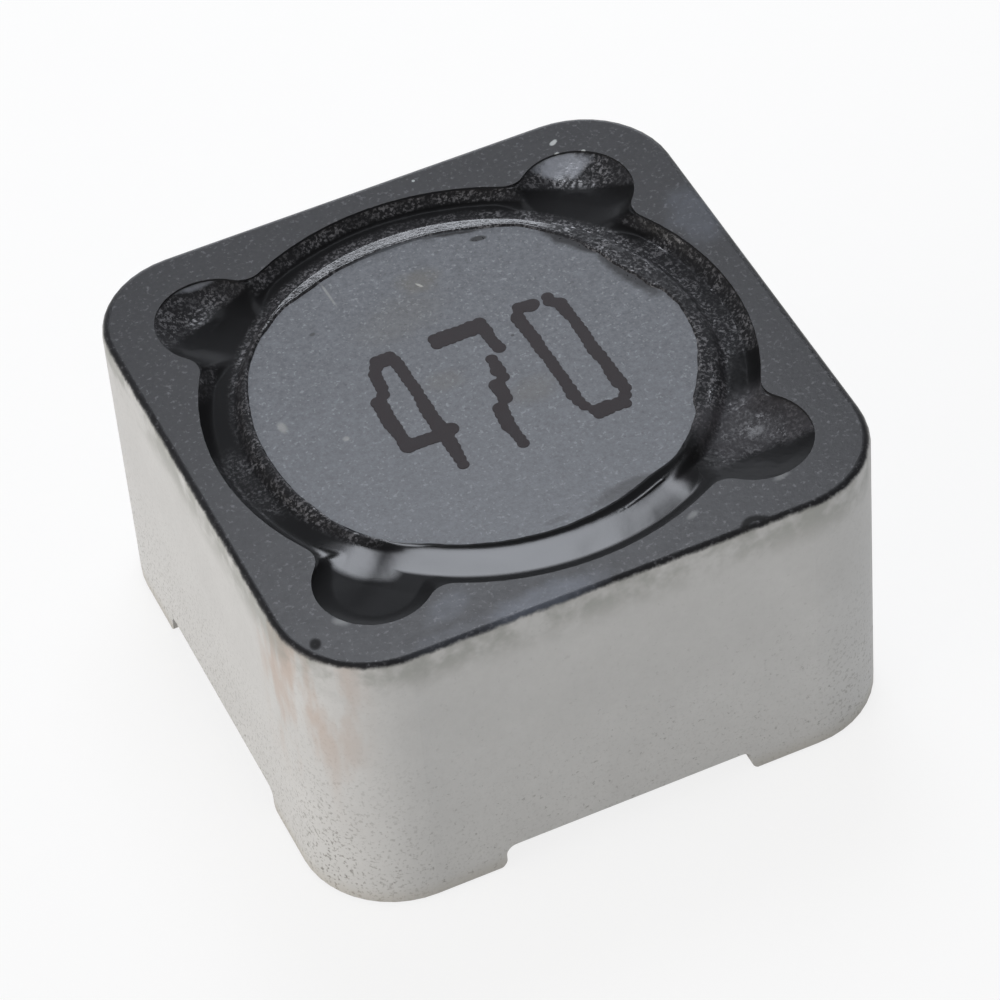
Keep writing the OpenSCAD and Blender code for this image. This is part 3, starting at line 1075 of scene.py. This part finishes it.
@dataclass
class AdhesiveBead:
    """The black bead between bobbin and shield, with a pool in each lobe. Sizes in millimetres."""

    outline: BoreOutline
    top_z: float
    disc_z: float
    low_z: float
    flange_r: float
    bevel_w: float = 0.25
    bevel_h: float = 0.45
    overlap: float = 0.012
    floor_r: float = 5.50
    # the thin inner edge: how soon it is this thick, and how far in its crest lies
    edge_w: float = 0.09
    edge_t: float = 0.060
    crest_w: float = 0.03
    around: int = 1440
    across: int = 54
    name: str = "poured_adhesive_bead"

    # where the hand-poured edge ends on the bobbin: angle in degrees and radius
    LIP: ClassVar[tuple[Pair, ...]] = (
        (0, 4.24), (6, 4.20), (13, 4.07), (23, 4.01), (31, 4.09), (42, 4.21), (55, 4.31),
        (72, 4.20), (90, 4.16), (114, 4.25), (128, 4.40), (143, 4.46), (163, 4.37), (180, 4.34),
        (198, 4.38), (214, 4.47), (224, 4.41), (236, 4.30), (259, 4.24), (277, 4.20), (293, 4.17),
        (305, 4.29), (319, 4.24), (325, 4.10), (337, 4.15), (347, 4.23), (360, 4.24),
    )
    # side, crest over the bobbin, slope of the lip, where it ends, slope of the floor,
    # depth at the wall, how far from the wall the bead starts to rise, and how far it sank in the gap
    FLOWS: ClassVar[tuple[Flow, ...]] = (
        Flow(0, 0.050, 0.18, 4.62, 0.06, 0.06, 0.27, 0.14),
        Flow(27, 0.045, 0.16, 4.62, 0.06, 0.05, 0.27, 0.14),
        Flow(45, 0.050, 0.20, 4.70, 0.06, 0.04, 0.90, 0.15),
        Flow(63, 0.055, 0.19, 4.60, 0.05, 0.05, 0.27, 0.14),
        Flow(90, 0.055, 0.19, 4.56, 0.05, 0.05, 0.27, 0.15),
        Flow(117, 0.055, 0.20, 4.58, 0.05, 0.05, 0.27, 0.15),
        Flow(135, 0.045, 0.27, 4.75, 0.05, 0.04, 0.80, 0.20),
        Flow(153, 0.045, 0.27, 4.72, 0.05, 0.05, 0.27, 0.15),
        Flow(180, 0.050, 0.24, 4.70, 0.05, 0.05, 0.27, 0.14),
        Flow(207, 0.050, 0.28, 4.68, 0.10, 0.07, 0.30, 0.06),
        Flow(218, 0.050, 0.30, 4.68, 0.11, 0.09, 0.42, 0.02),
        Flow(236, 0.060, 0.30, 4.46, 0.11, 0.10, 0.35, 0.00),
        Flow(243, 0.060, 0.30, 4.44, 0.11, 0.10, 0.30, 0.00),
        Flow(285, 0.060, 0.29, 4.41, 0.11, 0.10, 0.30, 0.00),
        Flow(296, 0.055, 0.26, 4.46, 0.09, 0.09, 0.30, 0.00),
        Flow(315, 0.050, 0.20, 4.60, 0.02, 0.05, 1.00, 0.19),
        Flow(333, 0.050, 0.20, 4.62, 0.03, 0.06, 0.27, 0.15),
        Flow(360, 0.050, 0.18, 4.62, 0.06, 0.06, 0.27, 0.14),
    )
    # how rough the skin dried in each lobe, and beyond which radius
    LOBE_GRAIN: ClassVar[tuple[tuple[float, float, float], ...]] = (
        (45.0, 0.7, 5.40), (135.0, 1.0, 5.50), (225.0, 0.2, 5.75), (315.0, 0.8, 4.70)
    )

    def lip_radius(self, angle: float) -> float:
        """Radius at which the bead's thin inner edge ends on the bobbin's top.

        Args:
            angle: direction in plan, in radians.

        Returns:
            The radius in millimetres.
        """
        x, y = 4.2 * math.cos(angle), 4.2 * math.sin(angle)
        side = math.degrees(angle) % 360
        ragged = 0.012 + 0.020 * step(abs(side - 20), 34.0, 12.0)
        coarse, fine = rumple(x, y, 4.0, 8.0), rumple(x, y, 9.0, 5.0)
        return eased(self.LIP, side) + ragged * coarse + 0.5 * ragged * fine

    def _flow(self, side: float) -> Flow:
        """The flow at an angle in degrees.

        Args:
            side: the angle.

        Returns:
            The flow, eased between its neighbours.
        """
        for first, last in zip(self.FLOWS, self.FLOWS[1:]):
            if side <= last.side:
                return first.towards(last, step(side, first.side, last.side))
        return self.FLOWS[-1]

    def _from_wall(self, x: float, y: float) -> float:
        """Distance from the bore's wall, as the bead sees it: a lobe is open towards the bobbin.

        Args:
            x: place in millimetres.
            y: place in millimetres.

        Returns:
            The distance, 0 at the wall and beyond.
        """
        out = (abs(x) + abs(y)) / math.sqrt(2) - self.outline.lobe_c
        aside = (abs(x) - abs(y)) / math.sqrt(2)
        in_bore = self.outline.bore_r - math.hypot(x, y)
        in_lobe = self.outline.lobe_r - math.hypot(max(0.0, out), aside)
        return max(0.0, -soft_least(-in_bore, -in_lobe, 0.15))

    def _grain(self, side: float, r: float, in_lobe: float) -> float:
        """How rough the skin is: it dried smooth where it pooled at the front.

        Args:
            side: angle in degrees.
            r: distance from the axis in millimetres.
            in_lobe: how far the place is inside a lobe, from 0 to 1.

        Returns:
            The roughness, from 0 to about 1.
        """
        front = step(side, 200.0, 208.0) * step(side, 299.0, 296.0)
        right = step(abs((side + 180) % 360 - 180 + 18), 30.0, 20.0)
        back = step(abs(side - 90), 56.0, 48.0)
        band = step(abs(side - 84), 36.0, 30.0) * step(r, 4.60, 4.52)
        lip = step(r, 4.82, 4.70) * (1 - 0.75 * band)
        wall = step(r, 5.03, 5.12)
        channel = max(lip, back * wall, 0.75 * right, 0.1) * (1 - front)
        _, rough, start = min(self.LOBE_GRAIN, key=lambda lobe: abs(lobe[0] - side))
        lobe = rough * step(r, start - 0.08, start + 0.08)
        pooled = step(side, 200.0, 208.0) * step(side, 305.0, 300.0) * step(r, 5.15, 5.0)
        return (channel * (1 - in_lobe * step(r, 4.8, 5.0)) + lobe * in_lobe) * (1 - pooled)

    def height(self, x: float, y: float, lip: float) -> float:
        """Height of the bead's surface.

        Args:
            x: place in plan, in millimetres.
            y: place in plan, in millimetres.
            lip: radius of the bead's inner edge in that direction.

        Returns:
            The height in millimetres.
        """
        r, angle = math.hypot(x, y), math.atan2(y, x)
        side = math.degrees(angle) % 360
        flow = self._flow(side)
        crest = self.top_z - self.disc_z - flow.crest
        steep = crest + (r - lip - self.crest_w) * flow.lip_slope
        at_knee = crest + (flow.knee_r - lip - self.crest_w) * flow.lip_slope
        gentle = at_knee + (min(r, self.floor_r) - flow.knee_r) * flow.floor_slope
        deep = soft_least(steep, gentle, 0.015)
        edge = self.flange_r - self.bevel_w
        sunk = step(r, edge + 0.02, self.flange_r + 0.04)
        deep += flow.sink * sunk * sunk * (3 - 2 * sunk)
        from_wall = self._from_wall(x, y)
        deep += (flow.wall - deep) * max(0.0, 1 - from_wall / flow.rise) ** 1.5
        deep += 0.012 * rumple(x, y, 1.4, 7.0) * step(r, 4.5, 4.9) * step(from_wall, 0.05, 0.4)
        if r < edge + 0.006:
            deep = min(deep, self.top_z - self.disc_z - 0.004)
        in_lobe = step(self.outline.off_diagonal(angle), math.radians(19), math.radians(12))
        grain = self._grain(side, r, in_lobe)
        deep += (0.008 * rumple(x, y, 2.2, 6.0) + 0.005 * rumple(x, y, 7.5, 4.0)) * grain
        deep += 0.003 * rumple(x, y, 14.0, 2.0) * grain
        return self.top_z - max(0.02, deep)

    def section(self, angle: float) -> list[Pair]:
        """The bead's closed section at one angle.

        Args:
            angle: direction in plan, in radians.

        Returns:
            Radius and height of each station, in millimetres.
        """
        inner = self.lip_radius(angle)
        smooth_lip = eased(self.LIP, math.degrees(angle) % 360)
        wall = self.outline.radius(angle)
        c, s = math.cos(angle), math.sin(angle)
        stations = [(inner, self.disc_z - 0.002)]
        for i in range(1, self.across):
            share = i / (self.across - 1)
            r = inner + (wall + self.overlap - inner) * share
            high = self.height(r * c, r * s, smooth_lip)
            climb = self.disc_z + self.edge_t * math.sqrt(min(1.0, (r - inner) / self.edge_w))
            stations.append((r, min(high, climb)))
        low = self.low_z
        edge = self.flange_r - self.bevel_w
        stations.append((wall + self.overlap, low))
        stations.append((self.flange_r - 0.01, low))
        stations.append((self.flange_r - 0.01, self.disc_z - self.bevel_h - 0.02))
        stations.append((max(edge - 0.02, inner + 0.02), self.disc_z - 0.02))
        stations.append((inner + 0.005, self.disc_z - 0.01))
        return stations

    def build(self) -> bpy.types.Object:
        """Models the bead as a ring of sections.

        Returns:
            The finished piece.
        """
        # flat rings at an even gap, so that each point's place tells its ring and its spoke
        count = self.across + 5
        first, gap = 4 * MM, 0.1 * MM
        clear_selection()
        bpy.ops.mesh.primitive_circle_add(vertices=self.around, radius=first, location=(0, 0, 0))
        piece = bpy.context.object
        piece.name = piece.data.name = self.name
        bpy.ops.object.mode_set(mode="EDIT")
        bpy.ops.mesh.select_mode(type="EDGE")
        bpy.ops.mesh.select_all(action="SELECT")
        for index in range(1, count):
            bpy.ops.mesh.extrude_edges_move()
            size = (first + index * gap) / (first + (index - 1) * gap)
            bpy.ops.transform.resize(value=(size, size, 1))
        bpy.ops.object.mode_set(mode="OBJECT")
        flat = points_of(piece)
        rings = np.rint((np.hypot(flat[:, 0], flat[:, 1]) - first) / gap).astype(int)
        turns = np.arctan2(flat[:, 1], flat[:, 0]) / (2 * math.pi)
        spokes = np.rint(turns * self.around).astype(int) % self.around
        sections = np.array([self.section(2 * math.pi * k / self.around) for k in range(self.around)])
        angles = spokes * (2 * math.pi / self.around)
        r, z = sections[spokes, rings, 0], sections[spokes, rings, 1]
        move_points(piece, np.column_stack((r * np.cos(angles), r * np.sin(angles), z)) * MM)
        self._close(piece, rings, count)
        BlackEpoxy(self.disc_z).put_on(piece)
        return piece

    def _close(self, piece: bpy.types.Object, rings: np.ndarray, count: int) -> None:
        """Bridges the first and last rings, and turns the faces outwards.

        Args:
            piece: the bead's open mesh.
            rings: the ring that each point is in.
            count: the number of rings.
        """
        take(piece)
        bpy.ops.object.mode_set(mode="EDIT")
        bpy.ops.mesh.select_mode(type="EDGE")
        bpy.ops.mesh.select_all(action="DESELECT")
        bpy.ops.object.mode_set(mode="OBJECT")
        for edge in piece.data.edges:
            a, b = rings[edge.vertices[0]], rings[edge.vertices[1]]
            edge.select = a == b and a in (0, count - 1)
        bpy.ops.object.mode_set(mode="EDIT")
        bpy.ops.mesh.bridge_edge_loops()
        bpy.ops.mesh.select_all(action="SELECT")
        bpy.ops.mesh.normals_make_consistent(inside=False)
        bpy.ops.object.mode_set(mode="OBJECT")
        bpy.ops.object.shade_smooth_by_angle(angle=math.radians(50))


Drop = tuple[float, float, float]


@dataclass
class Marking:
    """The printed value code 470, laid down as rows of ink drops. Sizes in millimetres."""

    face_z: float
    pitch: float = 0.15
    drop_t: float = 0.14
    stray: float = 0.018
    swell: float = 0.10
    film_t: float = 0.006
    voxel: float = 0.017
    name: str = "printed_value_470"

    # each stroke runs through these places, with the drop's radius there
    FOUR: ClassVar[tuple[tuple[Drop, ...], ...]] = (
        ((-1.517, 1.417, 0.150), (-1.240, 1.417, 0.140)),
        ((-1.383, 1.333, 0.150), (-1.383, 1.430, 0.120)),
        ((-1.517, 1.417, 0.150), (-1.683, 1.100, 0.140), (-1.717, 0.700, 0.135), (-1.767, 0.500, 0.140)),
        ((-1.933, 0.367, 0.170), (-1.950, -0.300, 0.165), (-1.917, -0.700, 0.135), (-1.900, -0.967, 0.170)),
        ((-1.900, -0.967, 0.160), (-1.350, -0.980, 0.160), (-1.017, -0.917, 0.165)),
        ((-1.200, 1.267, 0.140), (-1.183, 0.700, 0.125), (-1.167, 0.267, 0.125), (-1.200, -0.233, 0.150)),
        ((-1.200, -0.233, 0.150), (-1.183, -0.900, 0.160), (-1.167, -1.233, 0.150), (-1.183, -1.900, 0.120)),
    )
    SEVEN: ClassVar[tuple[tuple[Drop, ...], ...]] = (
        ((-0.283, 1.433, 0.140), (0.467, 1.433, 0.140)),
        ((-0.300, 1.283, 0.130), (0.430, 1.283, 0.130)),
        ((0.667, 1.450, 0.140), (0.667, 1.167, 0.145), (0.673, 0.900, 0.125), (0.700, 0.633, 0.130)),
        ((0.457, 0.417, 0.130), (0.450, 0.233, 0.140), (0.427, 0.067, 0.165), (0.450, -0.133, 0.125)),
        ((0.250, -0.267, 0.165), (0.250, -0.500, 0.150), (0.233, -0.667, 0.150)),
        ((0.050, -0.867, 0.150), (-0.017, -1.367, 0.155), (0.027, -1.633, 0.120), (0.033, -1.917, 0.120)),
    )
    NOUGHT: ClassVar[tuple[tuple[Drop, ...], ...]] = (
        ((1.500, 1.467, 0.130), (1.717, 1.400, 0.180), (1.780, 1.420, 0.150)),
        ((1.480, 1.400, 0.120), (1.380, 1.250, 0.130)),
        ((1.367, 1.183, 0.150), (1.400, 0.533, 0.140), (1.417, -0.133, 0.130), (1.433, -0.833, 0.125)),
        ((1.433, -0.833, 0.125), (1.417, -1.200, 0.150), (1.433, -1.400, 0.135), (1.483, -1.583, 0.120)),
        ((1.600, -1.767, 0.140), (1.850, -1.767, 0.150), (2.067, -1.800, 0.150), (2.183, -1.883, 0.130)),
        ((1.617, -1.900, 0.120), (1.850, -1.900, 0.110), (2.183, -1.883, 0.120)),
        ((2.117, 1.467, 0.130), (2.083, 1.333, 0.120), (2.267, 1.200, 0.150), (2.267, 0.933, 0.140)),
        ((2.267, 0.933, 0.140), (2.300, 0.633, 0.120), (2.300, 0.033, 0.140), (2.293, -0.300, 0.150)),
        ((2.293, -0.300, 0.150), (2.333, -0.633, 0.135), (2.317, -1.300, 0.155), (2.350, -1.500, 0.130)),
        ((2.350, -1.500, 0.130), (2.283, -1.667, 0.130)),
    )

    def drops(self) -> list[Drop]:
        """Place and radius of every drop, along each stroke at an even pitch.

        Returns:
            The drops, in millimetres.
        """
        found = []
        for stroke in (*self.FOUR, *self.SEVEN, *self.NOUGHT):
            for first, last in zip(stroke, stroke[1:]):
                count = max(1, round(math.dist(first[:2], last[:2]) / self.pitch))
                for i in range(count + 1):
                    x, y, r = (a + (b - a) * i / count for a, b in zip(first, last))
                    found.append((
                        x + self.stray * rumple(x, y, 5.0, 1.0),
                        y + self.stray * rumple(x, y, 5.0, 2.0),
                        r * (1 + self.swell * rumple(x, y, 3.1, 4.0)),
                    ))
        return found

    def build(self) -> bpy.types.Object:
        """Models the drops, runs them together and thins them to a film.

        Returns:
            The finished piece.
        """
        base = self.face_z - self.drop_t / 2
        clear_selection()
        bpy.ops.mesh.primitive_cylinder_add(
            vertices=20, radius=1.0, depth=self.drop_t * MM, location=(0, 0, 0)
        )
        pattern = bpy.context.object
        shape = points_of(pattern)
        drops = []
        for x, y, r in self.drops():
            drop = pattern.copy()
            drop.data = pattern.data.copy()
            bpy.context.scene.collection.objects.link(drop)
            move_points(drop, shape * (r * MM, r * MM, 1.0) + np.array((x, y, base)) * MM)
            drops.append(drop)
        clear_selection()
        pattern.select_set(True)
        bpy.ops.object.delete()
        for drop in drops:
            drop.select_set(True)
        bpy.context.view_layer.objects.active = drops[0]
        bpy.ops.object.join()
        piece = bpy.context.object
        piece.name = piece.data.name = self.name
        apply_modifier(piece, "REMESH", mode="VOXEL", voxel_size=self.voxel * MM)
        points = points_of(piece)
        top = self.face_z * MM
        height = (points[:, 2] - base * MM) / (self.drop_t * MM / 2)
        film = self.film_t * MM
        points[:, 2] = np.where(height > 0, top + film * np.clip(height, 0, 1), top - film)
        move_points(piece, points)
        take(piece)
        bpy.ops.object.shade_smooth_by_angle(angle=math.radians(40))
        MarkingInk().put_on(piece)
        return piece


# --------------------------------------------------------------------- studio


class Side(Enum):
    """Where a studio light stands, as azimuth from +Y towards +X and elevation, in degrees."""

    WINDOW = (21.0, 61.0)
    BACKDROP = (21.0, 16.0)
    LEFT_BOOK = (-95.0, 13.0)
    FRONT_FILL = (175.0, 15.0)


@dataclass(frozen=True)
class Softbox:
    """A rectangular soft light aimed at the part. Lengths in millimetres."""

    side: Side
    distance: float
    width: float
    height: float
    radiance: float
    colour: Colour = (1.0, 1.0, 1.0)

    def place(self, aim: Vector) -> bpy.types.Object:
        """Adds the light.

        Args:
            aim: the point it faces, in metres.

        Returns:
            The light's object.
        """
        azimuth, elevation = (math.radians(v) for v in self.side.value)
        way = Vector((
            math.sin(azimuth) * math.cos(elevation),
            math.cos(azimuth) * math.cos(elevation),
            math.sin(elevation),
        ))
        lamp = bpy.data.lights.new(self.side.name.lower(), "AREA")
        lamp.shape = "RECTANGLE"
        lamp.size = self.width * MM
        lamp.size_y = self.height * MM
        lamp.energy = self.radiance * math.pi * lamp.size * lamp.size_y
        lamp.color = self.colour
        holder = bpy.data.objects.new(lamp.name, lamp)
        holder.location = aim + way * (self.distance * MM)
        holder.rotation_euler = (-way).to_track_quat("-Z", "Y").to_euler()
        holder.visible_camera = False
        bpy.context.scene.collection.objects.link(holder)
        return holder


@dataclass(frozen=True)
class Viewpoint:
    """The camera's place in metres, its turn in degrees and its lens in millimetres."""

    location: tuple[float, float, float] = (-0.0232209, -0.0611823, 0.0705769)
    turn: tuple[float, float, float] = (44.0931, 3.6157, -24.6741)
    lens: float = 173.463

    def place(self) -> bpy.types.Object:
        """Adds the camera and makes it the scene's own.

        Returns:
            The camera's object.
        """
        camera = bpy.data.cameras.new("camera")
        camera.lens = self.lens
        camera.sensor_width = 36.0
        camera.clip_start = 0.001
        camera.clip_end = 10.0
        holder = bpy.data.objects.new("camera", camera)
        holder.location = self.location
        holder.rotation_euler = [math.radians(a) for a in self.turn]
        bpy.context.scene.collection.objects.link(holder)
        bpy.context.scene.camera = holder
        return holder


@dataclass
class Studio:
    """White sweep, soft lights and camera."""

    aim: Vector
    floor_size: float = 4.0
    fill: float = 0.40
    room: tuple[Pair, ...] = ((0.0, 0.50), (0.12, 0.45), (0.38, 0.06), (0.90, 0.08), (1.0, 0.15))
    boxes: tuple[Softbox, ...] = (
        Softbox(Side.WINDOW, 60.0, 24.0, 27.0, 7.2, (0.93, 0.97, 1.05)),
        Softbox(Side.BACKDROP, 120.0, 90.0, 30.0, 4.2, (0.93, 0.97, 1.05)),
        Softbox(Side.LEFT_BOOK, 160.0, 150.0, 90.0, 3.2, (1.0, 0.955, 0.91)),
        Softbox(Side.FRONT_FILL, 240.0, 160.0, 120.0, 0.42),
    )

    def build(self) -> None:
        """Adds the floor, the surroundings, the lights and the camera."""
        self._floor()
        self._surroundings()
        for box in self.boxes:
            box.place(self.aim)
        Viewpoint().place()
        bpy.context.scene.view_settings.view_transform = "Standard"

    def _floor(self) -> None:
        """Lays the paper under the part as a flat sheet."""
        clear_selection()
        bpy.ops.mesh.primitive_plane_add(size=self.floor_size, location=(0, 0, 0))
        floor = bpy.context.object
        floor.name = floor.data.name = "paper_floor"
        bpy.ops.object.mode_set(mode="EDIT")
        bpy.ops.mesh.subdivide(number_cuts=3)
        bpy.ops.object.mode_set(mode="OBJECT")
        PaperSweep().put_on(floor)

    def _surroundings(self) -> None:
        """White to the eye, and a soft dim room to everything else."""
        world = bpy.data.worlds.new("studio")
        bpy.context.scene.world = world
        world.use_nodes = True
        bench = Bench(world.node_tree)
        path = bench.node("ShaderNodeLightPath")
        way = bench.node("ShaderNodeTexCoord")["Generated"]
        up = bench.node("ShaderNodeSeparateXYZ", None, {0: way})["Z"]
        stops = [(place, grey(level)) for place, level in self.room]
        room = bench.node("ShaderNodeValToRGB", {"stops": stops}, {"Fac": up})["Color"]
        shine = path["Is Glossy Ray"].most(path["Is Transmission Ray"])
        sky = bench.mix(shine, grey(self.fill), room)
        sky = bench.mix(path["Is Camera Ray"], sky, grey(1.0))
        glow = bench.node("ShaderNodeBackground", None, {"Color": sky, "Strength": 1.0})[0]
        bench.node("ShaderNodeOutputWorld", None, {"Surface": glow})


# ----------------------------------------------------------------------- main


def box_mm(node: str) -> tuple[Vector, Vector]:
    """A solid's lowest and highest corners in millimetres."""
    low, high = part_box(node)
    return low / MM, high / MM


def add_piece(piece: bpy.types.Object, slot: str, *replaced: str) -> None:
    """Fixes a new piece to the part.

    Args:
        piece: the new piece.
        slot: not used.
        replaced: the solids that it stands for.
    """
    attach(piece, ROOT)
    if replaced:
        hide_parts(*replaced)
    piece.data.update()
    LOG.info("%s: %d faces", piece.name, len(piece.data.polygons))


def main() -> None:
    """Builds every sub-assembly in order."""
    logging.basicConfig(level=logging.INFO, format="%(name)s %(message)s")
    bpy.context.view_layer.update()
    nodes = frame["nodes"]
    _, shield_high = box_mm("shield_ring")
    _, bobbin_high = box_mm("bobbin_core")
    bead_low, bead_high = box_mm("adhesive_bead")

    bore_r = bead_high.x
    body = FerriteBody(nodes["shield_ring"], nodes["bobbin_core"], shield_high.z, bore_r)
    for piece in body.dress() + Winding(nodes).dress():
        LOG.info("%s: %s", piece.name, piece.data.materials[0].name)

    bead = AdhesiveBead(
        outline=BoreOutline(bore_r, bore_r + LOBE_OUT, LOBE_R, LOBE_BLEND),
        top_z=shield_high.z,
        disc_z=bobbin_high.z,
        low_z=bead_low.z,
        flange_r=bobbin_high.x,
    )
    add_piece(bead.build(), "black_adhesive", "adhesive_bead")
    add_piece(Marking(face_z=bobbin_high.z).build(), "marking_ink")
    Studio(aim=Vector((0.0, 0.0, shield_high.z * MM))).build()


if __name__ == "__main__":
    main()
